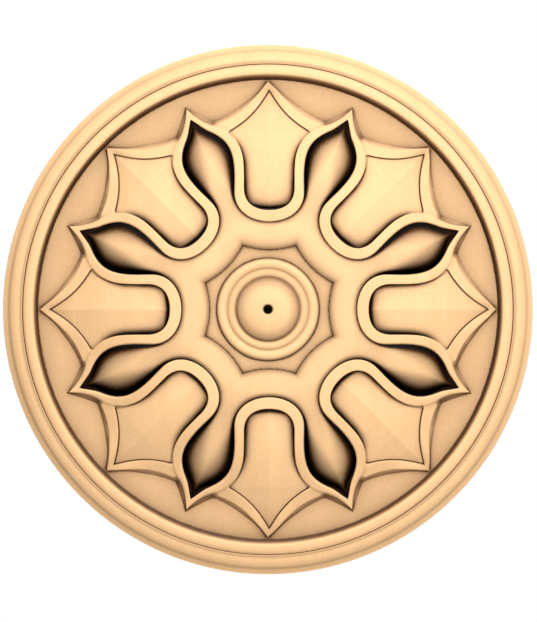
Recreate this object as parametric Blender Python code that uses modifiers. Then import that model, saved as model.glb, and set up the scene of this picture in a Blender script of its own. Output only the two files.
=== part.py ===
"""Round carved rosette in pale wood, made from one blank.

A moulded rim surrounds a flat ground. Eight back petals with raised borders lie on the ground, and one
looping ribbon runs over them, outlining eight front petals. The hub has a star-shaped recess with a
ringed boss and a centre hole.

The relief is modelled lying down, with its back on z = 0, and the finished piece is turned up to hang on a
wall: its back lies on the plane y = 0 and its face looks along -Y. Lengths are in metres.
"""

import math

import bmesh
import bpy
from mathutils import Matrix, Vector
from mathutils.geometry import interpolate_bezier

MM = 0.001

# The blank
OUTER_RADIUS = 200 * MM
GROUND_HEIGHT = 12 * MM
BACK_CHAMFER = 1.5 * MM
RIM_STEPS = 80

# The rim's mouldings: a rounded wall, an inner bead, a groove, an outer bead and a sloping edge band. The
# points of the wall's top and of the groove are given from the crest and from the end of the inner bead
RIM_FOOT_RADIUS = 172.9 * MM
RIM_CREST_RADIUS = 178.5 * MM
RIM_CREST_HEIGHT = 23 * MM
RIM_WALL_TOP = ((-2.2 * MM, -1.6 * MM), (-1.0 * MM, -0.5 * MM))
GROOVE_RADIUS = 185.2 * MM
GROOVE_BOTTOM = (0.2 * MM, -0.9 * MM)
GROOVE_END = (0.9 * MM, -0.2 * MM)
OUTER_BEAD_RADIUS = 194.8 * MM
BAND_RADIUS = 195.8 * MM
BAND_STEP = 0.9 * MM
OUTER_BEAD_START_SLOPE = math.radians(6)
BEAD_SLOPE = math.radians(32)
BAND_SLOPE = math.radians(30)
EDGE_ROUNDING = 0.9 * MM
BEAD_ROWS = 3

# The petals
PETALS = 8
PETAL_STEP = 2 * math.pi / PETALS
CURVE_STEPS = 5

# The carved flower sits a little to the right of the turned rim and boss
FLOWER_SHIFT = Vector((1.0 * MM, 0, 0))

# The ribbon's top falls from the hub to the petal tips like a dome
DOME_START = 65 * MM
DOME_END = 170 * MM
DOME_TOP = 40 * MM
DOME_FALL = 24.5 * MM
DOME_POWER = 1.25

# The ribbon's two edges from a back petal's axis to a front petal's tip. Each row is one stretch, as a
# start, two handles and an end, in millimetres across and along the back petal
PANEL_SIDE = (
    ((0, 74.8), (11.5, 74.8), (19.3, 80.1), (19.1, 92.4)),
    ((19.1, 92.4), (19.1, 98.2), (19.0, 103.3), (19.3, 109.0)),
    ((19.3, 109.0), (20.0, 123.3), (26.0, 134.4), (42.0, 139.2)),
    ((42.0, 139.2), (48.7, 141.2), (55.2, 145.0), (62.6, 151.1)),
)
POCKET_SIDE = (
    ((0, 66.3), (13.0, 66.3), (25.6, 73.5), (26.1, 87.5)),
    ((26.1, 87.5), (26.2, 92.2), (26.0, 95.5), (26.0, 100.3)),
    ((26.0, 100.3), (26.3, 120.5), (31.2, 128.3), (45.7, 134.5)),
    ((45.7, 134.5), (50.3, 136.4), (54.2, 140.2), (59.5, 143.7)),
)
STRAIGHT_STRETCH = 1
STRAIGHT_STEPS = 1

# The raised border strip of a back petal, from its tip to where it runs under the ribbon
STRIP_OUTER = ((0, 172.2), (12.8, 158.4), (20.2, 145.8), (43.2, 139.3))
STRIP_INNER = ((0, 165.3), (7.8, 152.3), (14.7, 142.2), (34.5, 131.8))
STRIP_STEPS = 6
STRIP_STEP_HEIGHT = 1.2 * MM
STRIP_FALL = 3.0 * MM
STRIP_TIP_HEIGHT = 14.4 * MM

# The roof-shaped panel of a back petal
RIDGE_START_HEIGHT = 35.6 * MM
RIDGE_BREAK = 132.9 * MM
RIDGE_BREAK_HEIGHT = 25.2 * MM
RIDGE_TIP = 163.8 * MM
RIDGE_TIP_HEIGHT = 13.2 * MM
RIDGE_HIP = 84 * MM
RIDGE_BEND = 1.7
PANEL_FOOT_HEIGHT = 33.4 * MM
ROOF_SLOPE = 0.13

# The rib inside each front petal, as distance from the centre, crest height and half width in millimetres
RIB_SECTIONS = (
    (56, 37.6, 11.0),
    (70, 36.6, 11.4),
    (82, 34.6, 11.0),
    (94, 32.2, 10.8),
    (105, 29.8, 12.0),
    (115, 27.2, 13.4),
    (124, 24.3, 12.8),
    (133, 20.2, 8.8),
    (140, 15.8, 4.6),
    (146, 11.5, 1.5),
)
RIB_FULLNESS = 2.3
RIB_ACROSS = (-1, -0.92, -0.68, -0.34, 0, 0.34, 0.68, 0.92, 1)

# The hub and its star-shaped recess
HUB_PROFILE = ((59, 38), (65, 37.2), (72, 35.6), (80, 32.6), (90, 26), (100, 18), (108, 11))
HUB_STEPS = 48
STAR_ARC_RADIUS = 44.9 * MM
STAR_POINT_RADIUS = 52.4 * MM
STAR_STEPS = 4
STAR_ROUNDING = ((0, 33), (0.7, 36.2), (3.5, 37.3), (8.0, 38.05))
STAR_FLARE = 1 * MM

# The boss: a dome and two ring mouldings
DOME_RADIUS = 23 * MM
DOME_CURVATURE = 46 * MM
BOSS_TOP = 41.5 * MM
BOSS_RINGS = (
    (24.2, 34.5), (25.4, 35.7), (27.6, 36.3), (29.6, 36.0), (30.7, 35.5),
    (31.9, 36.2), (34.7, 36.9), (37.2, 36.1), (38.6, 34.9), (38.9, 32),
)
BOSS_STEPS = 40
BOSS_DOME_ROWS = 4
HOLE_RADIUS = 3.2 * MM
HOLE_MOUTH_RADIUS = 4.6 * MM
HOLE_MOUTH_DEPTH = 1.2 * MM
HOLE_BOTTOM = 12 * MM
HOLE_STEPS = 24

# Pieces reach this far into each other before they are joined
BURY = 2 * MM
WELD = 0.02 * MM
FLAT_ANGLE = math.radians(0.4)
SHARP_ANGLE = math.radians(30)

WOOD_COLOUR = (0.72, 0.50, 0.26, 1.0)
WOOD_ROUGHNESS = 0.6


def clear_scene():
    """Removes whatever the file opened with."""
    for old in list(bpy.data.objects):
        bpy.data.objects.remove(old, do_unlink=True)


def new_collection(name):
    """Adds a named collection to the scene."""
    group = bpy.data.collections.new(name)
    bpy.context.scene.collection.children.link(group)
    return group


def add_object(name, mesh, group):
    """Puts a mesh into the scene as a named object."""
    made = bpy.data.objects.new(name, mesh)
    group.objects.link(made)
    return made


def mesh_from(bm, name):
    """Turns a bmesh into a mesh whose faces point outwards."""
    bmesh.ops.remove_doubles(bm, verts=bm.verts, dist=WELD)
    bmesh.ops.recalc_face_normals(bm, faces=bm.faces)
    mesh = bpy.data.meshes.new(name)
    bm.to_mesh(mesh)
    bm.free()
    return mesh


def turned(name, profile, steps, group):
    """Turns a profile of (radius, height) points, from the top down the outer side, around z."""
    mesh = bpy.data.meshes.new(name)
    points = [(radius, 0, height) for radius, height in profile]
    mesh.from_pydata(points, [(i, i + 1) for i in range(len(points) - 1)], [])
    made = add_object(name, mesh, group)
    screw = made.modifiers.new("turn", "SCREW")
    screw.steps = steps
    screw.render_steps = steps
    screw.use_merge_vertices = True
    screw.merge_threshold = WELD
    return made


def loft(name, sections, group, closed_path=False):
    """Joins a row of closed sections, each a list of points in the same order, into one solid."""
    bm = bmesh.new()
    rings = [[bm.verts.new(point) for point in section] for section in sections]
    pairs = list(zip(rings, rings[1:]))
    if closed_path:
        pairs.append((rings[-1], rings[0]))
    for first, second in pairs:
        for i in range(len(first)):
            j = (i + 1) % len(first)
            bm.faces.new((first[i], first[j], second[j], second[i]))
    if not closed_path:
        bm.faces.new(rings[0])
        bm.faces.new(reversed(rings[-1]))
    bmesh.ops.triangulate(bm, faces=bm.faces)
    return add_object(name, mesh_from(bm, name), group)


def bezier(stretch, count):
    """Points along one cubic stretch given in millimetres, both ends included."""
    start, first, second, end = (Vector((x * MM, y * MM, 0)) for x, y in stretch)
    return [Vector((p.x, p.y)) for p in interpolate_bezier(start, first, second, end, count + 1)]


def edge_line(stretches):
    """One edge of the ribbon, from a back petal's axis to the tip of a front petal."""
    line = []
    for number, stretch in enumerate(stretches):
        count = STRAIGHT_STEPS if number == STRAIGHT_STRETCH else CURVE_STEPS
        line += bezier(stretch, count)[bool(line):]
    return line


def mirrored(line):
    """The same line on the other side of the back petal's axis."""
    return [Vector((-p.x, p.y)) for p in line]


def turned_by(line, angle):
    """The line turned clockwise about the centre."""
    spin = Matrix.Rotation(-angle, 2)
    return [spin @ p for p in line]


def all_round(half):
    """Repeats half a petal's line into one closed outline around the centre."""
    petal = list(reversed(mirrored(half)))[1:] + half[1:]
    return [p for k in range(PETALS) for p in turned_by(petal, k * PETAL_STEP)]


def dome_height(radius):
    """Height of the ribbon's top: half a cosine wave from the hub down to the tips."""
    along = (radius - DOME_START) / (DOME_END - DOME_START)
    along = min(max(along, 0), 1) ** DOME_POWER
    return DOME_TOP - DOME_FALL * (1 - math.cos(math.pi * along)) / 2


def ridge_height(y):
    """Height of a back petal's ridge: it bends gently down to the break, then runs straight to the tip."""
    if y > RIDGE_BREAK:
        along = (y - RIDGE_BREAK) / (RIDGE_TIP - RIDGE_BREAK)
        return RIDGE_BREAK_HEIGHT + (RIDGE_TIP_HEIGHT - RIDGE_BREAK_HEIGHT) * along
    along = max(y - RIDGE_HIP, 0) / (RIDGE_BREAK - RIDGE_HIP)
    height = RIDGE_START_HEIGHT + (RIDGE_BREAK_HEIGHT - RIDGE_START_HEIGHT) * along ** RIDGE_BEND
    hip = max(RIDGE_HIP - y, 0) / (RIDGE_HIP - PANEL_SIDE[0][0][1] * MM)
    return height - (RIDGE_START_HEIGHT - PANEL_FOOT_HEIGHT) * min(hip, 1) ** 2


def roof_height(x, y):
    """Height of a back petal's panel, which falls evenly to both sides of its ridge."""
    return ridge_height(y) - ROOF_SLOPE * abs(x)


def make_blank(group):
    """The turned blank with its rim mouldings and flat ground."""
    def bead(start_radius, start_height, start_angle, end_radius, end_angle, count):
        """Points on an arc that starts and ends at the given slopes."""
        curvature = (end_radius - start_radius) / (math.sin(end_angle) - math.sin(start_angle))
        points = []
        for i in range(count + 1):
            angle = start_angle + (end_angle - start_angle) * i / count
            radius = start_radius + curvature * (math.sin(angle) - math.sin(start_angle))
            height = start_height - curvature * (math.cos(start_angle) - math.cos(angle))
            points.append((radius, height))
        return points

    inner = bead(RIM_CREST_RADIUS, RIM_CREST_HEIGHT, 0, GROOVE_RADIUS, BEAD_SLOPE, BEAD_ROWS)
    groove = (inner[-1][0] + GROOVE_BOTTOM[0], inner[-1][1] + GROOVE_BOTTOM[1])
    outer_start = (inner[-1][0] + GROOVE_END[0], inner[-1][1] + GROOVE_END[1])
    outer = bead(*outer_start, OUTER_BEAD_START_SLOPE, OUTER_BEAD_RADIUS, BEAD_SLOPE, BEAD_ROWS)
    band_height = outer[-1][1] - BAND_STEP
    band_end = OUTER_RADIUS - EDGE_ROUNDING
    edge_height = band_height - (band_end - BAND_RADIUS) * math.tan(BAND_SLOPE)
    profile = [
        (0, GROUND_HEIGHT),
        (RIM_FOOT_RADIUS, GROUND_HEIGHT),
        *((RIM_CREST_RADIUS + across, RIM_CREST_HEIGHT + down) for across, down in RIM_WALL_TOP),
        *inner,
        groove,
        *outer,
        (BAND_RADIUS, band_height),
        (band_end, edge_height),
        (OUTER_RADIUS, edge_height - EDGE_ROUNDING),
        (OUTER_RADIUS, BACK_CHAMFER),
        (OUTER_RADIUS - BACK_CHAMFER, 0),
        (0, 0),
    ]
    return turned("blank", profile, RIM_STEPS, group)


def make_ribbon(group):
    """The ribbon that outlines every front petal, as one closed band with a domed top."""
    outer = all_round(edge_line(PANEL_SIDE))
    inner = all_round(edge_line(POCKET_SIDE))
    low = GROUND_HEIGHT - BURY
    sections = []
    for out, into in zip(outer, inner):
        sections.append((
            (out.x, out.y, low),
            (out.x, out.y, dome_height(out.length)),
            (into.x, into.y, dome_height(into.length)),
            (into.x, into.y, low),
        ))
    return loft("ribbon", sections, group, closed_path=True)


def ribbon_middle():
    """The line along the middle of the ribbon, from a back petal's axis to a front petal's tip."""
    pairs = zip(edge_line(PANEL_SIDE), edge_line(POCKET_SIDE))
    return [(out + into) / 2 for out, into in pairs]


def strip_lines():
    """The outer and inner edges of a back petal's border, from the tip down one side."""
    return bezier(STRIP_OUTER, STRIP_STEPS), bezier(STRIP_INNER, STRIP_STEPS)


def make_panel(number, group):
    """The roof-shaped panel of one back petal, reaching under the ribbon and the border."""
    outer, inner = strip_lines()
    border = [(a + b) / 2 for a, b in zip(outer, inner)]
    meeting = border[-1]
    side = [p for p in ribbon_middle()[1:] if p.y < meeting.y and p.x < meeting.x]
    side += list(reversed(border[1:]))
    side.append(border[0] + Vector((BURY, -BURY)))
    low = GROUND_HEIGHT - BURY
    sections = []
    for point in side:
        across = [-point.x, 0, point.x]
        top = [(x, point.y, roof_height(x, point.y)) for x in across]
        sections.append(top + [(point.x, point.y, low), (-point.x, point.y, low)])
    made = loft(f"panel_{number}", sections, group)
    made.data.transform(Matrix.Rotation(-number * PETAL_STEP, 4, "Z"))
    return made


def make_strip(number, group):
    """The raised border of one back petal, two curved strips that meet at the tip."""
    outer, inner = strip_lines()
    low = GROUND_HEIGHT - BURY
    sections = []
    for i in range(-STRIP_STEPS, STRIP_STEPS + 1):
        out = outer[abs(i)]
        into = inner[abs(i)]
        side = -1 if i < 0 else 1
        into_top = max(roof_height(into.x, into.y) + STRIP_STEP_HEIGHT, STRIP_TIP_HEIGHT)
        out_top = into_top - STRIP_FALL * abs(i) / STRIP_STEPS
        sections.append((
            (side * out.x, out.y, low),
            (side * out.x, out.y, out_top),
            (side * into.x, into.y, into_top),
            (side * into.x, into.y, low),
        ))
    made = loft(f"border_{number}", sections, group)
    made.data.transform(Matrix.Rotation(-number * PETAL_STEP, 4, "Z"))
    return made


def make_rib(number, group):
    """The round-backed rib inside one front petal: rounded sections that swell and then run out."""
    foot = GROUND_HEIGHT - BURY
    sections = []
    for along, crest, half_width in RIB_SECTIONS:
        section = []
        for across in RIB_ACROSS:
            share = (1 - abs(across) ** RIB_FULLNESS) ** (1 / RIB_FULLNESS)
            height = foot + (crest * MM - foot) * share
            section.append((across * half_width * MM, along * MM, height))
        section.append((half_width * MM, along * MM, foot - BURY))
        section.append((-half_width * MM, along * MM, foot - BURY))
        sections.append(section)
    made = loft(f"rib_{number}", sections, group)
    made.data.transform(Matrix.Rotation(-(number + 0.5) * PETAL_STEP, 4, "Z"))
    return made


def star_outline(offset):
    """The star's outline, eight concave arcs between eight points, moved out by an offset."""
    half_step = PETAL_STEP / 2
    tip = Vector((STAR_POINT_RADIUS * math.sin(half_step), STAR_POINT_RADIUS * math.cos(half_step)))
    rise = tip.y - STAR_ARC_RADIUS
    curvature = (tip.x ** 2 + rise ** 2) / (2 * rise)
    centre = Vector((0, STAR_ARC_RADIUS + curvature))
    sweep = math.asin(tip.x / curvature)
    points = []
    for k in range(PETALS):
        arc = []
        for i in range(STAR_STEPS):
            angle = sweep * (2 * i / STAR_STEPS - 1)
            arc.append(centre + curvature * Vector((math.sin(angle), -math.cos(angle))))
        points += turned_by(arc, k * PETAL_STEP)
    return [p * (1 + offset / p.length) for p in points]


def make_hub(group, cutters):
    """The hub, trimmed to the ribbon's middle line, with its star-shaped recess."""
    profile = [(0, HUB_PROFILE[0][1] * MM)]
    profile += [(radius * MM, height * MM) for radius, height in HUB_PROFILE]
    profile.append((0, HUB_PROFILE[-1][1] * MM))
    hub = turned("hub", profile, HUB_STEPS, group)
    outline = all_round(ribbon_middle())
    high = DOME_TOP + BURY
    low = GROUND_HEIGHT - 2 * BURY
    trim = loft("hub_outline", [[(p.x, p.y, z) for p in outline] for z in (low, high)], cutters)
    sections = []
    for offset, height in STAR_ROUNDING:
        sections.append([(p.x, p.y, height * MM) for p in star_outline(offset * MM)])
    top = star_outline(STAR_ROUNDING[-1][0] * MM + STAR_FLARE)
    sections.append([(p.x, p.y, high) for p in top])
    star = loft("star_recess", sections, cutters)
    cut(hub, trim, "INTERSECT")
    cut(hub, star, "DIFFERENCE")
    return hub


def make_boss(group):
    """The turned boss: a low dome inside two ring mouldings."""
    profile = []
    for i in range(BOSS_DOME_ROWS + 1):
        radius = DOME_RADIUS * i / BOSS_DOME_ROWS
        sag = DOME_CURVATURE - math.sqrt(DOME_CURVATURE ** 2 - radius ** 2)
        profile.append((radius, BOSS_TOP - sag))
    profile += [(radius * MM, height * MM) for radius, height in BOSS_RINGS]
    profile.append((0, BOSS_RINGS[-1][1] * MM))
    return turned("boss", profile, BOSS_STEPS, group)


def make_hole(cutters):
    """The cutter for the blind centre hole, with its eased mouth."""
    mouth = BOSS_TOP - HOLE_MOUTH_DEPTH
    profile = [
        (0, BOSS_TOP + BURY),
        (HOLE_MOUTH_RADIUS + BURY, BOSS_TOP + BURY),
        (HOLE_MOUTH_RADIUS, BOSS_TOP),
        (HOLE_RADIUS, mouth),
        (HOLE_RADIUS, HOLE_BOTTOM),
        (0, HOLE_BOTTOM),
    ]
    return turned("centre_hole", profile, HOLE_STEPS, cutters)


def cut(target, cutter, operation):
    """Adds one exact Boolean with a single object."""
    boolean = target.modifiers.new(cutter.name, "BOOLEAN")
    boolean.operation = operation
    boolean.solver = "EXACT"
    boolean.object = cutter


def join_all(target, group):
    """Adds one exact Boolean that joins every object of a collection to the target."""
    boolean = target.modifiers.new(group.name, "BOOLEAN")
    boolean.operation = "UNION"
    boolean.solver = "EXACT"
    boolean.operand_type = "COLLECTION"
    boolean.collection = group


def finish(target):
    """Turns the joined modifiers into one mesh, with no needless edges on its flats, shaded smooth."""
    evaluated = target.evaluated_get(bpy.context.evaluated_depsgraph_get())
    carved = bpy.data.meshes.new_from_object(evaluated)
    target.modifiers.clear()
    target.data = carved
    bm = bmesh.new()
    bm.from_mesh(carved)
    bmesh.ops.remove_doubles(bm, verts=bm.verts, dist=WELD)
    bmesh.ops.dissolve_limit(bm, angle_limit=FLAT_ANGLE, verts=bm.verts, edges=bm.edges)
    bmesh.ops.triangulate(bm, faces=bm.faces)
    bm.to_mesh(carved)
    bm.free()
    carved.shade_smooth()
    carved.set_sharp_from_angle(angle=SHARP_ANGLE)


def wood():
    """Pale smooth wood."""
    material = bpy.data.materials.new("pale_wood")
    material.use_nodes = True
    shader = material.node_tree.nodes["Principled BSDF"]
    shader.inputs["Base Color"].default_value = WOOD_COLOUR
    shader.inputs["Roughness"].default_value = WOOD_ROUGHNESS
    shader.inputs["Metallic"].default_value = 0.0
    return material


clear_scene()
medallion_parts = new_collection("sunburst_medallion")
raised_parts = new_collection("raised_carving")
cutting_parts = new_collection("cutters")

medallion = make_blank(medallion_parts)
medallion.name = "carved_medallion"
make_hub(raised_parts, cutting_parts)
make_ribbon(raised_parts)
for petal in range(PETALS):
    make_panel(petal, raised_parts)
    make_strip(petal, raised_parts)
    make_rib(petal, raised_parts)
for carved in [*raised_parts.objects, *cutting_parts.objects]:
    carved.location = FLOWER_SHIFT
make_boss(raised_parts)
join_all(medallion, raised_parts)
cut(medallion, make_hole(cutting_parts), "DIFFERENCE")

wall_frame = add_object("wall_frame", None, medallion_parts)
wall_frame.rotation_euler = (math.pi / 2, 0, 0)
medallion.parent = wall_frame
for helper in [*raised_parts.objects, *cutting_parts.objects]:
    helper.parent = wall_frame
    helper.hide_render = True
    helper.display_type = "WIRE"

finish(medallion)
medallion.data.materials.append(wood())
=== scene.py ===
import math

import bmesh
import bpy
import numpy as np
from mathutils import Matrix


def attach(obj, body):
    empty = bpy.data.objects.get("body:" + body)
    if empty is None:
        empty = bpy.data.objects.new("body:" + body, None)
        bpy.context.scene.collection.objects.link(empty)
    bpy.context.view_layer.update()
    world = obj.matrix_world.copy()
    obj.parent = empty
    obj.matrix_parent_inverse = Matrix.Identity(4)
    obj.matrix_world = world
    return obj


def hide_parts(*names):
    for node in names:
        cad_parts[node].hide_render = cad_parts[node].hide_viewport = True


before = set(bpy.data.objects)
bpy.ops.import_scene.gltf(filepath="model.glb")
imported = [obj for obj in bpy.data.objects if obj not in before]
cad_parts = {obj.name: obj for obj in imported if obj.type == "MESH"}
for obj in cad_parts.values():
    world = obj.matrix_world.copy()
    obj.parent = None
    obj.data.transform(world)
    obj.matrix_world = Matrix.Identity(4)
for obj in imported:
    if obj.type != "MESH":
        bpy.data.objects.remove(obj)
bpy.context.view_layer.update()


# The ribbon. One raised band of wood, left standing by the carver, loops round the hub and outlines eight
# pointed front petals. Its top is smooth and falls like a dome, its edges are eased with a fine rasp.

# Everything is worked out for half a petal, from a back petal's axis to the next front petal's axis, in
# millimetres across and along the back petal. Mirrored and turned copies make the full round.
PETALS = 8
HALF_STEP = math.pi / PETALS
BACK_AXIS = np.array([0.0, 1.0])
FRONT_AXIS = np.array([math.sin(HALF_STEP), math.cos(HALF_STEP)])
SIDE_AXIS = np.array([FRONT_AXIS[1], -FRONT_AXIS[0]])

# The ribbon's two sides as chains of four cubic curves. Ease and draft are given by the place on the chain.
PANEL_SIDE = (
    ((0, 74.8), (11.5, 74.8), (19.3, 80.1), (19.1, 92.4)),
    ((19.1, 92.4), (19.1, 98.2), (19.0, 103.3), (19.3, 109.0)),
    ((19.3, 109.0), (20.0, 123.3), (26.0, 134.4), (42.0, 139.2)),
    ((42.0, 139.2), (48.7, 141.2), (55.2, 145.0), (62.6, 151.1)),
)
POCKET_SIDE = (
    ((0, 66.3), (13.0, 66.3), (25.6, 73.5), (26.1, 87.5)),
    ((26.1, 87.5), (26.2, 92.2), (26.0, 95.5), (26.0, 100.3)),
    ((26.0, 100.3), (26.3, 120.5), (31.2, 128.3), (45.7, 134.5)),
    ((45.7, 134.5), (50.3, 136.4), (54.2, 140.2), (59.5, 143.7)),
)
DOME_START = 65
DOME_END = 170
DOME_TOP = 40
DOME_FALL = 24.5
DOME_POWER = 1.25
PANEL_EASE = ((0, 0.9), (2.0, 0.9), (2.6, 1.4), (3.2, 2.4), (3.7, 1.8), (4, 0.7))
PANEL_OVERHANG = 0.1
PANEL_DRAFT = ((0, 1.2), (2.6, 1.4), (3.1, 2.9), (3.7, 2.5), (4, 1.1))
POCKET_EASE = ((0, 1.0), (0.6, 1.0), (1, 1.4), (2, 1.6), (3.5, 1.6), (3.8, 1.0), (4, 0.5))
POCKET_OVERHANG = 0.25
POCKET_DRAFT = 0.2
EDGE_ANGLES = np.radians((0, 20, 40, 60, 80))
FINE = 3001
THIN = 4


def chain(stretches, place):
    """Points on a chain of cubic curves: the whole part of a place picks the curve, the rest is t, and the
    four points of the curve are weighted by (1-t)^3, 3t(1-t)^2, 3t^2(1-t) and t^3."""
    corners = np.array(stretches, float)
    pick = np.minimum(place.astype(int), len(corners) - 1)
    t = (place - pick)[:, None]
    start, first, second, end = np.moveaxis(corners[pick], 1, 0)
    return (1 - t) ** 3 * start + 3 * t * (1 - t) ** 2 * first + 3 * t ** 2 * (1 - t) * second + t ** 3 * end


def on_axes(line, start_axis=None, end_axis=None):
    """The line with its ends put exactly on the mirror lines that they lie on."""
    line = line.copy()
    if start_axis is not None:
        line[0] = (line[0] @ start_axis) * start_axis
    if end_axis is not None:
        line[-1] = (line[-1] @ end_axis) * end_axis
    return line


def shifted(line, distance, start_axis=None, end_axis=None):
    """The line moved sideways to its left: each point moves along its normal. An end on a mirror line moves
    along that line by the distance over the cosine between the two, so that mirrored copies meet."""
    length = np.concatenate([[0], np.cumsum(np.linalg.norm(np.diff(line, axis=0), axis=1))])
    tangent = np.gradient(line, length, axis=0)
    normal = np.stack([-tangent[:, 1], tangent[:, 0]], axis=1)
    normal /= np.linalg.norm(normal, axis=1, keepdims=True)
    if start_axis is not None:
        normal[0] = start_axis / (normal[0] @ start_axis)
    if end_axis is not None:
        normal[-1] = end_axis / (normal[-1] @ end_axis)
    return line + np.reshape(distance, (-1, 1)) * normal


def smooth_through(table, value):
    """A smooth curve through a table's points: cubic pieces whose slopes are the mean slopes beside them."""
    x, y = np.array(table, float).T
    slope = np.gradient(y, x)
    value = np.clip(value, x[0], x[-1])
    i = np.clip(np.searchsorted(x, value) - 1, 0, len(x) - 2)
    width = x[i + 1] - x[i]
    t = (value - x[i]) / width
    rise = y[i] + (y[i + 1] - y[i]) * t * t * (3 - 2 * t)
    return rise + width * t * (1 - t) * ((1 - t) * slope[i] - t * slope[i + 1])


def dome_height(points):
    """Height of the ribbon's top: TOP - FALL (1 - cos(pi t^p)) / 2, with t from the hub to the tips."""
    t = np.clip((np.linalg.norm(points, axis=-1) - DOME_START) / (DOME_END - DOME_START), 0, 1) ** DOME_POWER
    return DOME_TOP - DOME_FALL * (1 - np.cos(math.pi * t)) / 2


fine_place = np.linspace(0, len(PANEL_SIDE), FINE)
fine_foot = shifted(chain(PANEL_SIDE, fine_place), smooth_through(PANEL_DRAFT, fine_place))


# The border of a back petal. Two narrow strips, carved from the same wood, rise a little above the petal's
# panel, meet in a mitre at its tip and run under the ribbon.

STRIP_OUTER = (((0, 172.2), (12.8, 158.4), (20.2, 145.8), (43.2, 139.3)),)
STRIP_INNER = (((0, 165.3), (7.8, 152.3), (14.7, 142.2), (34.5, 131.8)),)
STRIP_STEP_HEIGHT = 1.2
STRIP_FALL = 3.0
STRIP_TIP_HEIGHT = 14.4
STRIP_ROWS = 22
STRIP_MIDDLE = (0.25, 0.5, 0.75)
STRIP_WALL = ((0, 0.5), (0.15, 0.9), (0.3, 1.5), (0.45, 2.6), (0.6, 3.2), (0.8, 3.2), (1, 2.2))
STRIP_EASE = 0.5
STRIP_EASE_DROP = 0.25
CUT_HALF_WIDTH = 0.55
CUT_DEPTH = 0.9
GROUND_HEIGHT = 12

RIDGE_START_HEIGHT = 35.6
RIDGE_BREAK = 132.9
RIDGE_BREAK_HEIGHT = 25.2
RIDGE_TIP = 163.8
RIDGE_TIP_HEIGHT = 13.2
RIDGE_HIP = 84
RIDGE_BEND = 1.7
PANEL_FOOT_HEIGHT = 33
ROOF_SLOPE = 0.13
EDGE_FALL = (
    (74, 2), (76, 1.6), (79, 0.6), (84, 1.5), (90, 2.4), (100, 2.5), (110, 2.4), (118, 1.7), (125, 0.8),
    (130, 0),
)
EDGE_FALL_WIDTH = 6
EDGE_FALL_POWER = 2.2


def roof_height(points):
    """Height of a back petal's panel: a ridge that bends down as START - FALL t^p to the break and runs
    straight from there to the tip, less an even slope to both sides, less a hip at the hub's end."""
    x = points[..., 0]
    y = points[..., 1]
    along = np.clip((y - RIDGE_HIP) / (RIDGE_BREAK - RIDGE_HIP), 0, 1)
    near = RIDGE_START_HEIGHT + (RIDGE_BREAK_HEIGHT - RIDGE_START_HEIGHT) * along ** RIDGE_BEND
    beyond = np.maximum(y - RIDGE_BREAK, 0) / (RIDGE_TIP - RIDGE_BREAK)
    hip = np.clip((RIDGE_HIP - y) / (RIDGE_HIP - PANEL_SIDE[0][0][1]), 0, 1)
    ridge = near - (RIDGE_BREAK_HEIGHT - RIDGE_TIP_HEIGHT) * beyond
    return ridge - (RIDGE_START_HEIGHT - PANEL_FOOT_HEIGHT) * hip ** 2 - ROOF_SLOPE * np.abs(x)


def nearest(points, line):
    """Distance from each point to the nearest sample of a finely sampled line."""
    flat = points.reshape(-1, 2)
    gap = np.linalg.norm(flat[:, None] - line[None], axis=2).min(axis=1)
    return gap.reshape(points.shape[:-1])


def panel_height(points):
    """The roof's height less a rounded fall beside the ribbon: FALL (1 - d / width)^p, d from its foot."""
    beside = np.clip(1 - nearest(points, fine_foot[::THIN]) / EDGE_FALL_WIDTH, 0, 1) ** EDGE_FALL_POWER
    return roof_height(points) - np.maximum(smooth_through(EDGE_FALL, points[..., 1]), 0) * beside


strip_place = np.linspace(0, 1, FINE)
inner_edge = on_axes(chain(STRIP_INNER, strip_place), BACK_AXIS)
outer_edge = on_axes(chain(STRIP_OUTER, strip_place), BACK_AXIS)
eased_inner = shifted(inner_edge, CUT_HALF_WIDTH + STRIP_EASE, BACK_AXIS)
eased_outer = shifted(outer_edge, -STRIP_EASE, BACK_AXIS)
inner_top = np.maximum(roof_height(inner_edge) + STRIP_STEP_HEIGHT, STRIP_TIP_HEIGHT)
outer_top = inner_top - STRIP_FALL * strip_place
cut_start = shifted(inner_edge, -CUT_HALF_WIDTH, BACK_AXIS)
cut_end = shifted(inner_edge, CUT_HALF_WIDTH, BACK_AXIS)
strip_foot = shifted(outer_edge, smooth_through(STRIP_WALL, strip_place), BACK_AXIS)

# The strip's lines, from its cut over its top to the foot of its outer wall, run to the ribbon's foot.
strip_lines = [
    (cut_start, roof_height(cut_start)),
    (inner_edge, roof_height(inner_edge) - CUT_DEPTH),
    (cut_end, inner_top - STRIP_EASE_DROP),
    (eased_inner, inner_top),
]
for share in STRIP_MIDDLE:
    middle = eased_inner + share * (eased_outer - eased_inner)
    strip_lines.append((middle, inner_top + share * (outer_top - inner_top)))
strip_lines += [
    (eased_outer, outer_top),
    (outer_edge, outer_top - STRIP_EASE_DROP),
    (strip_foot, np.full(FINE, float(GROUND_HEIGHT))),
]

patches = []
meetings = []
strip_points = []
strip_heights = []
for line, height in strip_lines:
    gap = np.linalg.norm(line[::THIN, None] - fine_foot[None], axis=2)
    end, meeting = np.unravel_index(gap.argmin(), gap.shape)
    pick = np.linspace(0, end * THIN, STRIP_ROWS + 1).round().astype(int)
    points = line[pick].copy()
    points[-1] = fine_foot[meeting]
    strip_points.append(points)
    strip_heights.append(height[pick])
    meetings.append(fine_place[meeting])
strip_points = np.stack(strip_points, axis=1)
strip_heights = np.stack(strip_heights, axis=1)
patches.append((strip_points, strip_heights))


# The ribbon's own surface, now that the places where the border runs under it are known. Lines run along it
# from a back petal's axis to a front petal's tip, and a cross-section of eased edges joins them.

BEND_ROWS = 24
LEG_ROWS = 5
BELLY_ROWS = 13
TIP_ROWS = 12
RIBBON_MIDDLE = (0.12, 0.3, 0.5, 0.7, 0.88)


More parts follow.
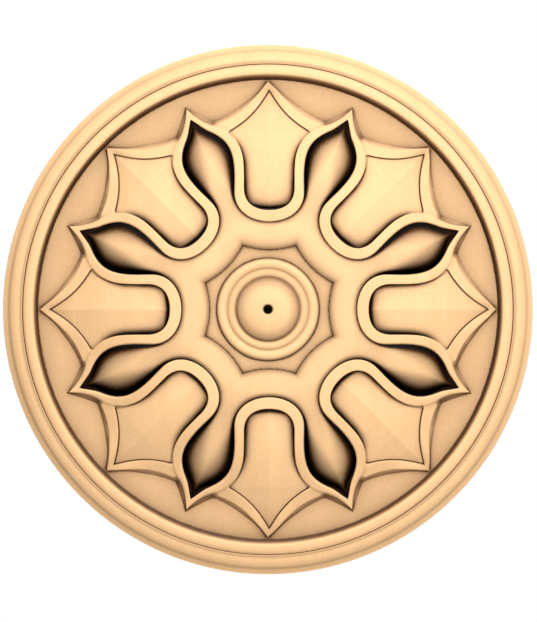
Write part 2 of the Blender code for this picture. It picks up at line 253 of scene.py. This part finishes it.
def spread(stops, counts):
    """Places between each stop and the next, evenly spaced, with every stop included once."""
    runs = [np.linspace(a, b, n, endpoint=False) for a, b, n in zip(stops, stops[1:], counts)]
    return np.concatenate(runs + [[stops[-1]]])


panel_rows = BEND_ROWS + LEG_ROWS + BELLY_ROWS
under_rows = len(meetings) - 1
place = np.concatenate([
    spread((0, 1, 2, meetings[0]), (BEND_ROWS, LEG_ROWS, BELLY_ROWS))[:-1],
    meetings,
    np.linspace(meetings[-1], len(PANEL_SIDE), TIP_ROWS + 1)[1:],
])
panel_edge = on_axes(chain(PANEL_SIDE, place), BACK_AXIS, FRONT_AXIS)
pocket_edge = on_axes(chain(POCKET_SIDE, place), BACK_AXIS, FRONT_AXIS)
panel_ease = smooth_through(PANEL_EASE, place)
pocket_ease = smooth_through(POCKET_EASE, place)
panel_foot = shifted(panel_edge, smooth_through(PANEL_DRAFT, place), BACK_AXIS, FRONT_AXIS)
panel_foot[panel_rows:panel_rows + under_rows + 1] = strip_points[-1]
pocket_foot = shifted(pocket_edge, -POCKET_OVERHANG - POCKET_DRAFT, BACK_AXIS, FRONT_AXIS)
foot_height = np.full(len(place), float(GROUND_HEIGHT))
foot_height[:panel_rows] = panel_height(panel_foot[:panel_rows])
foot_height[panel_rows:panel_rows + under_rows + 1] = strip_heights[-1]


# The panel of a back petal: a low roof with a ridge along its middle, cut back into the wood between the
# ribbon's legs and the border strips, and hipped at the hub's end.

PANEL_ACROSS = np.array((0, 0.02, 0.12, 0.26, 0.4, 0.52, 0.62, 0.71, 0.79, 0.86, 0.92, 0.97, 1))
SPINE_START = 84.5
SPINE_END = 158
SPINE_EASE = 3.0


def eased_between(value, low, high, ease):
    """The value where it lies between two limits, easing into them: log(1 + e^v) at each limit."""
    value = low + ease * np.logaddexp(0, (value - low) / ease)
    return high - ease * np.logaddexp(0, (high - value) / ease)


def ruled(first, last, shares):
    """Straight lines from each point of one row to the same point of the other."""
    return first[:, None] + np.asarray(shares)[None, :, None] * (last - first)[:, None]


panel_rim = np.concatenate([panel_foot[:panel_rows + 1], strip_points[-2::-1, 0]])
spine_place = eased_between(panel_rim[:, 1], SPINE_START, SPINE_END, SPINE_EASE)
spine = np.stack([np.zeros(len(panel_rim)), spine_place], axis=1)
panel = ruled(spine, panel_rim, PANEL_ACROSS)
patches.append((panel, panel_height(panel)))


# The hub and the ribs. The hub is a low dome with a rounded shoulder. It flows out through each gap of the
# ribbon into a round-backed rib, which swells and then runs out inside the deep pocket of a front petal.

CREST = (
    (40, 38.2), (54, 38.1), (60.4, 37.9), (65, 37.5), (70, 36.7), (82, 34.6), (94, 32.2), (105, 29.6),
    (115, 26.7), (124, 23.2), (133, 18.2), (140, 13), (146, 9), (151, 7.2), (155, 7),
)
CREST_TURN_START = 56
CREST_TURN_END = 92
FLANK_FALL = (
    (40, 0), (61, 0.2), (71, 0.4), (78, 0.6), (84, 1.2), (90, 3.8), (95, 7.2), (100, 9.8), (105, 11.5),
    (112, 12.8), (120, 12.8), (130, 10.8), (138, 8.3), (146, 5.6), (155, 3),
)
FLANK_POWER = ((40, 6), (84, 6), (90, 6), (96, 5), (103, 3.5), (112, 2.4), (120, 1.9), (155, 1.6))
FLANK_REACH = 1.2
LEAST_WALL = 0.1
POCKET_BOTTOM = 7
STAR_ARC_RADIUS = 44.9
STAR_POINT_RADIUS = 52.4
STAR_COLUMNS = 13
STAR_SAMPLES = 200
STAR_WALL = 0.6
STAR_WALL_ACROSS = (0, 0.5, 1)
STAR_EASE_DROP = 0.3
STAR_FLOOR = 33
SHOULDER_WIDTH = 9.5
SHOULDER_DROP = 2.26
SHOULDER_POWER = 2.1
EDGE_ROLL_WIDTH = 4
EDGE_ROLL_DROP = 1.1
EDGE_ROLL_POWER = 1.8
RIB_LAG_ROWS = 24
RIB_LAG_POWER = 1.5
RIB_ACROSS = 26
RIB_ACROSS_POWER = 0.9
POCKET_DROP_SHARE = 0.7
PANEL_DROP_SHARE = 0.42
WALL_TOP_PARTS = 7


def body_height(points):
    """Height of the hub and rib: the crest less FALL (d / w)^p, where d and w are the distances of the point
    and of the pocket's wall from the front petal's axis, less the shoulder round the star and the roll
    beside the ribbon."""
    along = points @ FRONT_AXIS
    aside = np.abs(points @ SIDE_AXIS)
    radius = np.linalg.norm(points, axis=-1)
    turn = np.clip((along - CREST_TURN_START) / (CREST_TURN_END - CREST_TURN_START), 0, 1)
    crest = smooth_through(CREST, radius + (along - radius) * turn ** 2 * (3 - 2 * turn))
    wall = np.interp(along, pocket_fine @ FRONT_AXIS, np.abs(pocket_fine @ SIDE_AXIS))
    power = smooth_through(FLANK_POWER, along)
    share = np.clip(aside / np.maximum(wall, LEAST_WALL), 0, FLANK_REACH) ** power
    shoulder = np.clip(1 - nearest(points, star_fine) / SHOULDER_WIDTH, 0, 1) ** SHOULDER_POWER
    roll = np.clip(1 - nearest(points, pocket_fine) / EDGE_ROLL_WIDTH, 0, 1) ** EDGE_ROLL_POWER
    fall = smooth_through(FLANK_FALL, along) * share
    return np.maximum(crest - fall - SHOULDER_DROP * shoulder - EDGE_ROLL_DROP * roll, POCKET_BOTTOM)


def star_line(count):
    """The star's outline over half a point: an arc about a centre on the back petal's axis, hollow side
    out, from its nearest place to the boss up to the star's point."""
    tip = STAR_POINT_RADIUS * FRONT_AXIS
    rise = tip[1] - STAR_ARC_RADIUS
    curvature = (tip[0] ** 2 + rise ** 2) / (2 * rise)
    angle = np.linspace(0, math.asin(tip[0] / curvature), count)
    arc = np.stack([np.sin(angle), -np.cos(angle)], axis=1)
    return on_axes(np.array([0, STAR_ARC_RADIUS + curvature]) + curvature * arc, BACK_AXIS, FRONT_AXIS)


def wall_top(edge, foot):
    """The place a little way down a wall from its rounded edge, a seventh of the way to its foot."""
    return edge + (foot - edge) / WALL_TOP_PARTS


star_fine = star_line(STAR_SAMPLES)
pocket_fine = shifted(chain(POCKET_SIDE, fine_place[::THIN]), -POCKET_OVERHANG)
star_foot = star_line(STAR_COLUMNS + 1)
star_top = shifted(star_foot, STAR_WALL, BACK_AXIS, FRONT_AXIS)
rib_rows = len(place) - 1 - STAR_COLUMNS
axis_start = star_top[-1] @ FRONT_AXIS
fading = np.clip(1 - np.arange(1, rib_rows + 1) / RIB_LAG_ROWS, 0, 1) ** RIB_LAG_POWER
lag = (pocket_foot[STAR_COLUMNS] @ FRONT_AXIS - axis_start) * fading
axis_place = pocket_foot[STAR_COLUMNS + 1:] @ FRONT_AXIS - lag
body_inner = np.concatenate([star_top, axis_place[:, None] * FRONT_AXIS])
across = np.linspace(0, 1, RIB_ACROSS + 1) ** RIB_ACROSS_POWER
body = ruled(body_inner, pocket_foot, across)
body_heights = body_height(body)
patches.append((body, body_heights))

star_wall = ruled(star_foot, star_top, STAR_WALL_ACROSS)
wall_heights = np.stack([
    np.full(STAR_COLUMNS + 1, float(STAR_FLOOR)),
    body_heights[:STAR_COLUMNS + 1, 0] - STAR_EASE_DROP,
    body_heights[:STAR_COLUMNS + 1, 0],
], axis=1)
patches.append((star_wall, wall_heights))

# The ribbon's lines, from the foot in the pocket over its eased edges and its top to the foot on the panel.
ribbon_lines = [pocket_foot]
ribbon_heights = [body_heights[:, -1]]
pocket_drop = np.minimum(pocket_ease, POCKET_DROP_SHARE * (dome_height(pocket_edge) - body_heights[:, -1]))
for angle in EDGE_ANGLES[::-1]:
    aside = pocket_ease * (1 - math.sin(angle)) - POCKET_OVERHANG
    line = shifted(pocket_edge, aside, BACK_AXIS, FRONT_AXIS)
    ribbon_lines.append(line)
    ribbon_heights.append(dome_height(line) - pocket_drop * (1 - math.cos(angle)))
pocket_top = ribbon_lines[-1]
panel_top = shifted(panel_edge, PANEL_OVERHANG - panel_ease, BACK_AXIS, FRONT_AXIS)
for share in RIBBON_MIDDLE:
    line = pocket_top + share * (panel_top - pocket_top)
    ribbon_lines.append(line)
    ribbon_heights.append(dome_height(line))
panel_drop = np.minimum(panel_ease, PANEL_DROP_SHARE * (dome_height(panel_edge) - foot_height))
for angle in EDGE_ANGLES:
    aside = PANEL_OVERHANG - panel_ease * (1 - math.sin(angle))
    line = shifted(panel_edge, aside, BACK_AXIS, FRONT_AXIS)
    ribbon_lines.append(line)
    ribbon_heights.append(dome_height(line) - panel_drop * (1 - math.cos(angle)))
ribbon_lines += [wall_top(ribbon_lines[-1], panel_foot), panel_foot]
ribbon_heights += [wall_top(ribbon_heights[-1], foot_height), foot_height]
ribbon_lines.insert(1, wall_top(ribbon_lines[1], ribbon_lines[0]))
ribbon_heights.insert(1, wall_top(ribbon_heights[1], ribbon_heights[0]))
patches.append((np.stack(ribbon_lines, axis=1), np.stack(ribbon_heights, axis=1)))


# The rim and the ground. The blank is turned on a faceplate: a flat ground inside a bead, a groove, a second
# bead and a sloping band, with a plain back.

GROUND_ACROSS = (0, 0.06, 0.16, 0.32, 0.5, 0.68, 0.84, 0.94, 1)
OUTER_RADIUS = 200
RIM_WALL = (
    (173.6, 12), (174.0, 13.6), (174.6, 15.8), (175.2, 18.2), (175.8, 20.1), (176.3, 21.2), (176.8, 22),
    (177.4, 22.6), (178.0, 22.9),
)
RIM_CREST_RADIUS = 178.5
RIM_CREST_HEIGHT = 23
GROOVE_RADIUS = 184.7
GROOVE_BOTTOM = (0.5, -1.1)
GROOVE_END = (1.0, -0.2)
OUTER_BEAD_RADIUS = 194.8
OUTER_BEAD_START_SLOPE = math.radians(6)
BEAD_SLOPE = math.radians(32)
BAND_STEP = (0.6, -0.75)
BAND_SLOPE = math.radians(30)
EDGE_ROUNDING = 0.9
BACK_CHAMFER = 1.5
BACK_RINGS = (170, 120, 60, 0)
BEAD_ROWS = 8


def bead(start, start_angle, end_radius, end_angle, count):
    """Profile of a bead: an arc that leaves its start at one slope and ends at another."""
    angle = np.linspace(start_angle, end_angle, count + 1)
    curvature = (end_radius - start[0]) / (math.sin(end_angle) - math.sin(start_angle))
    radius = start[0] + curvature * (np.sin(angle) - math.sin(start_angle))
    return np.stack([radius, start[1] - curvature * (math.cos(start_angle) - np.cos(angle))], axis=1)


def turned(profile, angles):
    """A profile of radius and height, turned over the angles clockwise from the back petal's axis."""
    profile = np.array(profile, float)
    around = np.stack([np.sin(angles), np.cos(angles)], axis=1)
    return around[:, None] * profile[None, :, :1], np.tile(profile[:, 1], (len(angles), 1))


ground_rim = np.concatenate([strip_points[:, -1], panel_foot[panel_rows + under_rows + 1:]])
rim_angles = np.linspace(0, HALF_STEP, len(ground_rim))
rim_foot, _ = turned(RIM_WALL[:1], rim_angles)
ground = ruled(ground_rim, rim_foot[:, 0], GROUND_ACROSS)
patches.append((ground, np.full(ground.shape[:2], float(GROUND_HEIGHT))))

inner_bead = bead((RIM_CREST_RADIUS, RIM_CREST_HEIGHT), 0, GROOVE_RADIUS, BEAD_SLOPE, BEAD_ROWS)
outer_start = inner_bead[-1] + GROOVE_END
outer_bead = bead(outer_start, OUTER_BEAD_START_SLOPE, OUTER_BEAD_RADIUS, BEAD_SLOPE, BEAD_ROWS)
band_start = outer_bead[-1] + BAND_STEP
band_end = OUTER_RADIUS - EDGE_ROUNDING
edge_height = band_start[1] - (band_end - band_start[0]) * math.tan(BAND_SLOPE)
rim_profile = [
    *RIM_WALL,
    *inner_bead,
    inner_bead[-1] + GROOVE_BOTTOM,
    *outer_bead,
    band_start,
    (band_start + (band_end, edge_height)) / 2,
    (band_end, edge_height),
]
outside_profile = [
    (band_end, edge_height),
    (OUTER_RADIUS - EDGE_ROUNDING / 3, edge_height - EDGE_ROUNDING / 3),
    (OUTER_RADIUS, edge_height - EDGE_ROUNDING),
    (OUTER_RADIUS, BACK_CHAMFER),
    (OUTER_RADIUS - BACK_CHAMFER, 0),
    *[(ring, 0) for ring in BACK_RINGS],
]
rim, rim_heights = turned(rim_profile, rim_angles)
patches.append((rim, rim_heights))
outside = turned(outside_profile, rim_angles)


# The boss. A low dome inside two ring mouldings stands in the star-shaped recess, bored at its centre for
# a pin.

DOME_RADIUS = 23
BOSS_TOP = 41.2
BOSS_DOME_SLOPE = 0.547
BOSS_DOME_POWER = 1.53
BOSS_DOME_ROWS = 18
BOSS_RINGS = (
    (23.6, 35.4), (24.2, 34.9), (24.6, 35.1), (25.4, 35.7), (26.4, 36.1), (27.6, 36.3), (28.6, 36.2),
    (29.6, 35.95), (30.3, 35.65), (30.7, 35.5), (31.1, 35.75), (31.9, 36.2), (33.2, 36.7), (34.7, 36.9),
    (36.0, 36.65), (37.2, 36.1), (38.0, 35.5), (38.5, 34.9), (38.75, 34.2), (39.0, 33.0),
)
HOLE_RADIUS = 3.2
HOLE_MOUTH = ((0, -1.9), (0.3, -1.1), (0.8, -0.45))
HOLE_MOUTH_RADIUS = 4.6
HOLE_MIDDLE = 26
HOLE_BOTTOM = 12
STAR_FLOOR_ACROSS = (0, 0.12, 0.4, 0.75, 1)

# The dome's slope grows from nothing as SLOPE (r / R)^p, so it sags by SLOPE R / (p + 1) (r / R)^(p + 1).
star_angles = np.linspace(0, HALF_STEP, STAR_COLUMNS + 1)
dome_radius = np.linspace(HOLE_MOUTH_RADIUS, DOME_RADIUS, BOSS_DOME_ROWS + 1)
dome_share = dome_radius / DOME_RADIUS
dome_sag = BOSS_DOME_SLOPE * DOME_RADIUS / (BOSS_DOME_POWER + 1) * dome_share ** (BOSS_DOME_POWER + 1)
boss_profile = [
    (0, HOLE_BOTTOM),
    (HOLE_RADIUS, HOLE_BOTTOM),
    (HOLE_RADIUS, HOLE_MIDDLE),
    *[(HOLE_RADIUS + out, BOSS_TOP + up) for out, up in HOLE_MOUTH],
    *np.stack([dome_radius, BOSS_TOP - dome_sag], axis=1),
    *BOSS_RINGS,
]
boss, boss_heights = turned(boss_profile, star_angles)
patches.append((boss, boss_heights))
boss_foot, _ = turned([BOSS_RINGS[-1]], star_angles)
star_floor = ruled(boss_foot[:, 0], star_foot, STAR_FLOOR_ACROSS)
patches.append((star_floor, np.full(star_floor.shape[:2], float(STAR_FLOOR))))


# The medallion itself. One blank of pale wood, carved and sanded, so all the surfaces above are joined into
# one closed skin: the half petal, its mirror image, and eight turned copies of both.

MM = 0.001
FLOWER_SHIFT = 1.0
BOSS_EDGE = 39
STAR_EDGE = 44.9
FLOWER_EDGE = 163.6
RIM_EDGE = 173.6
WELD = 0.012 * MM
SHARP_ANGLE = math.radians(35)
CELL = 0.35
FINER = 12
DIRECTIONS = 24
REACHES = (0.5, 0.9, 1.4, 2, 3, 4.5, 6.5, 9, 12, 16, 22, 30, 40)
LEAST_LENGTH = 1e-9

# Painted shade in the wood's colour, as a light share from 0 to 1: set by the share of the sky that a place
# sees and by how squarely it faces the front, less in the turned grooves, each with its middle, width and
# loss, and less round the star. The strips' last lines, on their outer sides, get less of the painted shade
# that their slope would give them.
OPEN_TONE = (
    (0, 0.12, 0.2, 0.25, 0.3, 0.35, 0.4, 0.45, 0.5, 0.585, 0.64, 0.7, 0.75, 0.8, 0.86, 1),
    (0, 0.001, 0.01, 0.03, 0.085, 0.2, 0.33, 0.46, 0.55, 0.67, 0.73, 0.81, 0.87, 0.93, 1, 1),
)
SIDE_TONE = ((0.05, 0.2, 0.35, 0.5, 0.7, 0.86), (0.01, 0.04, 0.38, 0.7, 0.92, 1))
SHADED_GROOVES = (
    (21.5, 4.0, 0.3), (22.9, 1.0, 0.28), (29.8, 1.8, 0.2), (38.8, 1.2, 0.5), (186.6, 1.1, 0.45),
)
STAR_SHADE = 0.8
STAR_SHADE_WIDTH = 2.6
STRIP_OUTSIDE = 7
STRIP_OUTSIDE_POWER = 0.35


def finer(grid, times):
    """The grid with every cell cut into times by times, by straight interpolation along both sides."""
    for axis in (0, 1):
        count = grid.shape[axis]
        place = np.linspace(0, count - 1, (count - 1) * times + 1)
        low = np.minimum(place.astype(int), count - 2)
        share = (place - low).reshape((-1, 1) if axis == 0 else (1, -1))
        grid = np.take(grid, low, axis) * (1 - share) + np.take(grid, low + 1, axis) * share
    return grid


relief = np.zeros((int(OUTER_RADIUS * math.sin(HALF_STEP) / CELL) + 2, int(OUTER_RADIUS / CELL) + 2))
for points, heights in patches:
    column = (finer(points[..., 0], FINER) / CELL).round().astype(int).clip(0, relief.shape[0] - 1)
    row = (finer(points[..., 1], FINER) / CELL).round().astype(int).clip(0, relief.shape[1] - 1)
    np.maximum.at(relief, (column, row), finer(heights, FINER))


def relief_height(x, y):
    """Height of the relief anywhere: the point's angle is folded into the half petal that was worked out."""
    radius = np.hypot(x, y)
    angle = np.arctan2(x, y) % (2 * HALF_STEP)
    angle = np.minimum(angle, 2 * HALF_STEP - angle)
    column = (radius * np.sin(angle) / CELL).round().astype(int).clip(0, relief.shape[0] - 1)
    row = (radius * np.cos(angle) / CELL).round().astype(int).clip(0, relief.shape[1] - 1)
    return relief[column, row]


def facing(points, heights):
    """How squarely the surface faces the front at each point: the height part of its unit normal, which is
    the cross product of the grid's two directions."""
    along, across = np.gradient(np.dstack([points, heights]), axis=(0, 1))
    normal = np.cross(along, across)
    return np.abs(normal[..., 2]) / np.maximum(np.linalg.norm(normal, axis=-1), LEAST_LENGTH)


def openness(points, heights):
    """Share of the sky that each point sees: the mean over all directions of one less the sine of the
    horizon's angle, where the horizon is the steepest line to the relief around."""
    seen = np.zeros(heights.shape)
    for angle in np.linspace(0, 2 * math.pi, DIRECTIONS, endpoint=False):
        steepest = np.zeros(heights.shape)
        for reach in REACHES:
            x = points[..., 0] + reach * math.sin(angle)
            y = points[..., 1] + reach * math.cos(angle)
            steepest = np.maximum(steepest, (relief_height(x, y) - heights) / reach)
        seen += 1 - steepest / np.sqrt(1 + steepest ** 2)
    return seen / DIRECTIONS


def groove_tone(radius):
    """Painted shade in the turned grooves: one less LOSS exp(-((r - middle) / width)^2) for each."""
    tone = np.ones(radius.shape)
    for middle, width, loss in SHADED_GROOVES:
        tone -= loss * np.exp(-((radius - middle) / width) ** 2)
    return tone


def eased_step(value, low, high):
    """From 0 at the low value to 1 at the high one, as 3t^2 - 2t^3."""
    t = np.clip((value - low) / (high - low), 0, 1)
    return t * t * (3 - 2 * t)


vertices = []
faces = []
painted_light_shares = []
count = 0
for points, heights in patches + [outside]:
    # Painted shade: each place's colour is darkened by how little sky it sees, by how steeply it turns from
    # the front, in the turned grooves and round the star.
    unshaded = np.ones(heights.shape)
    aside = np.zeros(heights.shape)
    if points is not outside[0]:
        radius = np.linalg.norm(points, axis=-1)
        aside = eased_step(radius, BOSS_EDGE, STAR_EDGE) - eased_step(radius, FLOWER_EDGE, RIM_EDGE)
        side = np.interp(facing(points, heights), *SIDE_TONE)
        if points is strip_points:
            side[:, STRIP_OUTSIDE:] **= STRIP_OUTSIDE_POWER
        unshaded = np.interp(openness(points, heights), *OPEN_TONE) * side
        if points is boss or points is rim:
            unshaded *= groove_tone(radius)
        if points is body:
            # Painted shade beside the star's edge.
            unshaded *= 1 - STAR_SHADE * np.exp(-nearest(points, star_fine) / STAR_SHADE_WIDTH)
    rows, columns = heights.shape
    first = np.arange(rows * columns).reshape(rows, columns)
    corners = [first[:-1, :-1], first[1:, :-1], first[1:, 1:], first[:-1, 1:]]
    quads = np.stack(corners, axis=-1).reshape(-1, 4)
    for mirror in (1, -1):
        for petal in range(PETALS):
            turn = petal * 2 * HALF_STEP
            x = mirror * points[..., 0]
            y = points[..., 1]
            world_x = x * math.cos(turn) + y * math.sin(turn) + FLOWER_SHIFT * aside
            world_z = y * math.cos(turn) - x * math.sin(turn)
            vertices.append(np.stack([world_x, -heights, world_z], axis=-1).reshape(-1, 3) * MM)
            faces.append(quads[:, ::mirror] + count)
            painted_light_shares.append(unshaded.ravel()[quads[:, ::mirror]])
            count += rows * columns

skin = bpy.data.meshes.new("carved_rosette")
skin.from_pydata(np.concatenate(vertices), [], np.concatenate(faces))
attribute = skin.attributes.new("clean_share", "FLOAT", "CORNER")
attribute.data.foreach_set("value", np.concatenate(painted_light_shares).ravel().astype(np.float32))
bm = bmesh.new()
bm.from_mesh(skin)
bmesh.ops.remove_doubles(bm, verts=bm.verts, dist=WELD)
bmesh.ops.dissolve_degenerate(bm, dist=WELD, edges=bm.edges)
bmesh.ops.recalc_face_normals(bm, faces=bm.faces)
bm.to_mesh(skin)
bm.free()
skin.shade_smooth()
skin.set_sharp_from_angle(angle=SHARP_ANGLE)
rosette = bpy.data.objects.new("carved_rosette", skin)
bpy.context.scene.collection.objects.link(rosette)
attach(rosette, "root")
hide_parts("carved_medallion")


# Its finish: fine-sanded pale wood without varnish. Its grain runs up the medallion and carries fine specks.
# Painted shade darkens the hollows and the steep sides, down to near black in the pockets.

WOOD = (0.785, 0.497, 0.256, 1)
GRAIN_WOOD = (0.695, 0.428, 0.215, 1)
GRAIN_SCALE = (90, 90, 6)
GRAIN_DETAIL = 4.0
SPECK_SCALE = 900.0
SPECK_DETAIL = 2.0
SPECK_WEIGHT = 2.0
GRAIN_START = 1.0
SHEEN = 0.05
ROUGHNESS = 0.58
GRAIN_ROUGHNESS = 0.1
GRAIN_BUMP = 0.5
BUMP_STRENGTH = 0.12
BUMP_DEPTH = 0.0002
COLOUR_A = 6
COLOUR_B = 7
COLOUR_RESULT = 2

# Each tone of the painted shade: a light share, and how many times redder and bluer than green the wood gets
# there.
TONES = (
    (0.0, 1, 1), (0.01, 1.8, 0.45), (0.05, 1.5, 0.6), (0.125, 1.28, 0.77), (0.25, 1.12, 0.94),
    (0.5, 1.03, 1.02), (1.0, 1, 1),
)


class Wire:
    """An output socket of a material's node tree. Sums and products of wires add Math nodes."""

    def __init__(self, tree, socket=None):
        self.tree = tree
        self.socket = socket

    def add(self, kind, settings=None, sockets=None, output=0):
        """Adds a node: its settings first, then the values or links of its sockets."""
        made = self.tree.nodes.new(kind)
        for name, value in (settings or {}).items():
            if name == "stops":
                made.color_ramp.elements.remove(made.color_ramp.elements[1])
                made.color_ramp.elements[0].position = value[0][0]
                made.color_ramp.elements[0].color = value[0][1]
                for position, colour in value[1:]:
                    made.color_ramp.elements.new(position).color = colour
            else:
                setattr(made, name, value)
        for name, value in (sockets or {}).items():
            if isinstance(value, Wire):
                self.tree.links.new(value.socket, made.inputs[name])
            else:
                made.inputs[name].default_value = value
        return Wire(self.tree, made.outputs[output])

    def sum(self, operation, first, second):
        return self.add("ShaderNodeMath", {"operation": operation}, {0: first, 1: second})

    def __add__(self, other):
        return self.sum("ADD", self, other)

    __radd__ = __add__

    def __sub__(self, other):
        return self.sum("SUBTRACT", self, other)

    def __rsub__(self, other):
        return self.sum("SUBTRACT", other, self)

    def __mul__(self, other):
        return self.sum("MULTIPLY", self, other)

    __rmul__ = __mul__


wood = bpy.data.materials.new("pale_wood")
wood.use_nodes = True
shader = wood.node_tree.nodes["Principled BSDF"]
start = Wire(wood.node_tree)
place_on_wood = start.add("ShaderNodeTexCoord", output="Object")
grain_place = start.add("ShaderNodeMapping", sockets={"Vector": place_on_wood, "Scale": GRAIN_SCALE})
grain = start.add(
    "ShaderNodeTexNoise", sockets={"Vector": grain_place, "Scale": 1.0, "Detail": GRAIN_DETAIL}
)
speck = start.add(
    "ShaderNodeTexNoise", sockets={"Vector": place_on_wood, "Scale": SPECK_SCALE, "Detail": SPECK_DETAIL}
)
clean_share = start.add("ShaderNodeAttribute", {"attribute_name": "clean_share"}, output="Fac")
unshaded = start.add(
    "ShaderNodeMix",
    {"data_type": "RGBA"},
    {"Factor": grain + SPECK_WEIGHT * speck - GRAIN_START, COLOUR_A: WOOD, COLOUR_B: GRAIN_WOOD},
    COLOUR_RESULT,
)
# Painted shade: the light share picks a darker, redder tone that multiplies the wood's colour.
deep_tone = start.add(
    "ShaderNodeValToRGB",
    {"stops": [(share, (share * redder, share, share * bluer, 1)) for share, redder, bluer in TONES]},
    {"Fac": clean_share},
)
toned = start.add(
    "ShaderNodeMix",
    {"data_type": "RGBA", "blend_type": "MULTIPLY"},
    {"Factor": 1.0, COLOUR_A: unshaded, COLOUR_B: deep_tone},
    COLOUR_RESULT,
)
bump = start.add(
    "ShaderNodeBump",
    sockets={"Strength": BUMP_STRENGTH, "Distance": BUMP_DEPTH, "Height": grain * GRAIN_BUMP + speck},
)
links = wood.node_tree.links
links.new(toned.socket, shader.inputs["Base Color"])
links.new((ROUGHNESS + GRAIN_ROUGHNESS * grain).socket, shader.inputs["Roughness"])
links.new(bump.socket, shader.inputs["Normal"])
shader.inputs["Specular IOR Level"].default_value = SHEEN
skin.materials.append(wood)


# The place where it is shown: a plain pale floor below, a white surround, and a camera far off on the
# medallion's axis. A large soft lamp stands high in front and a little to the right, a weaker one behind
# for the flat back, and neither casts shadows.

PHOTO_WIDTH = 537
PHOTO_HEIGHT = 622
CENTRE_PIXEL = (267.88, 309.5)
RADIUS_PIXELS = 264.95
PIXEL = OUTER_RADIUS * MM / RADIUS_PIXELS
CAMERA_DISTANCE = 6.0
CAMERA_SENSOR = 36.0
CAMERA_REACH = 100
FACE_DEPTH = 0.02
FLOOR_DROP = 0.8
FLOOR_SIZE = 3.0
FLOOR_COLOUR = (0.85, 0.84, 0.82, 1)
FLOOR_ROUGHNESS = 0.8
LAMP_TURN = math.radians(13)
LAMP_LEAN = math.radians(46)
LAMP_DISTANCE = 3.0
LAMP_SIZE = 1.6
LAMP_POWER = 167
REAR_POWER = 50
SURROUND_LIGHT = 0.12

bpy.ops.mesh.primitive_plane_add(size=FLOOR_SIZE, location=(0, 0, -FLOOR_DROP))
floor = bpy.context.object
floor.name = "pale_floor"
pale = bpy.data.materials.new("pale_floor")
pale.use_nodes = True
pale_shader = pale.node_tree.nodes["Principled BSDF"]
pale_shader.inputs["Base Color"].default_value = FLOOR_COLOUR
pale_shader.inputs["Roughness"].default_value = FLOOR_ROUGHNESS
floor.data.materials.append(pale)

world = bpy.data.worlds.new("white_surround")
bpy.context.scene.world = world
world.use_nodes = True
surround = world.node_tree.nodes["Background"]
surround.inputs["Color"].default_value = (1, 1, 1, 1)
sky = Wire(world.node_tree)
camera_ray = sky.add("ShaderNodeLightPath", output="Is Camera Ray")
glow = camera_ray * (1 - SURROUND_LIGHT) + SURROUND_LIGHT
world.node_tree.links.new(glow.socket, surround.inputs["Strength"])

for name, turn, lean, power in (
    ("soft_lamp", LAMP_TURN, LAMP_LEAN, LAMP_POWER),
    ("rear_lamp", LAMP_TURN, math.pi - LAMP_LEAN, REAR_POWER),
):
    lamp_data = bpy.data.lights.new(name, "AREA")
    lamp_data.shape = "DISK"
    lamp_data.size = LAMP_SIZE
    lamp_data.energy = power
    lamp_data.use_shadow = False
    lamp = bpy.data.objects.new(name, lamp_data)
    bpy.context.scene.collection.objects.link(lamp)
    lamp_way = np.array([math.sin(lean) * math.sin(turn), -math.cos(lean), math.sin(lean) * math.cos(turn)])
    lamp.location = lamp_way * LAMP_DISTANCE
    lamp.rotation_euler = lamp.location.to_track_quat("Z", "Y").to_euler()

camera_data = bpy.data.cameras.new("camera")
camera_data.sensor_width = CAMERA_SENSOR
camera_data.lens = CAMERA_SENSOR * CAMERA_DISTANCE / (PHOTO_HEIGHT * PIXEL)
camera_data.clip_end = CAMERA_REACH
camera = bpy.data.objects.new("camera", camera_data)
bpy.context.scene.collection.objects.link(camera)
camera.location = (
    (PHOTO_WIDTH / 2 - CENTRE_PIXEL[0]) * PIXEL,
    -CAMERA_DISTANCE - FACE_DEPTH,
    (CENTRE_PIXEL[1] - PHOTO_HEIGHT / 2) * PIXEL,
)
camera.rotation_euler = (math.pi / 2, 0, 0)
bpy.context.scene.camera = camera
bpy.context.scene.view_settings.view_transform = "Standard"
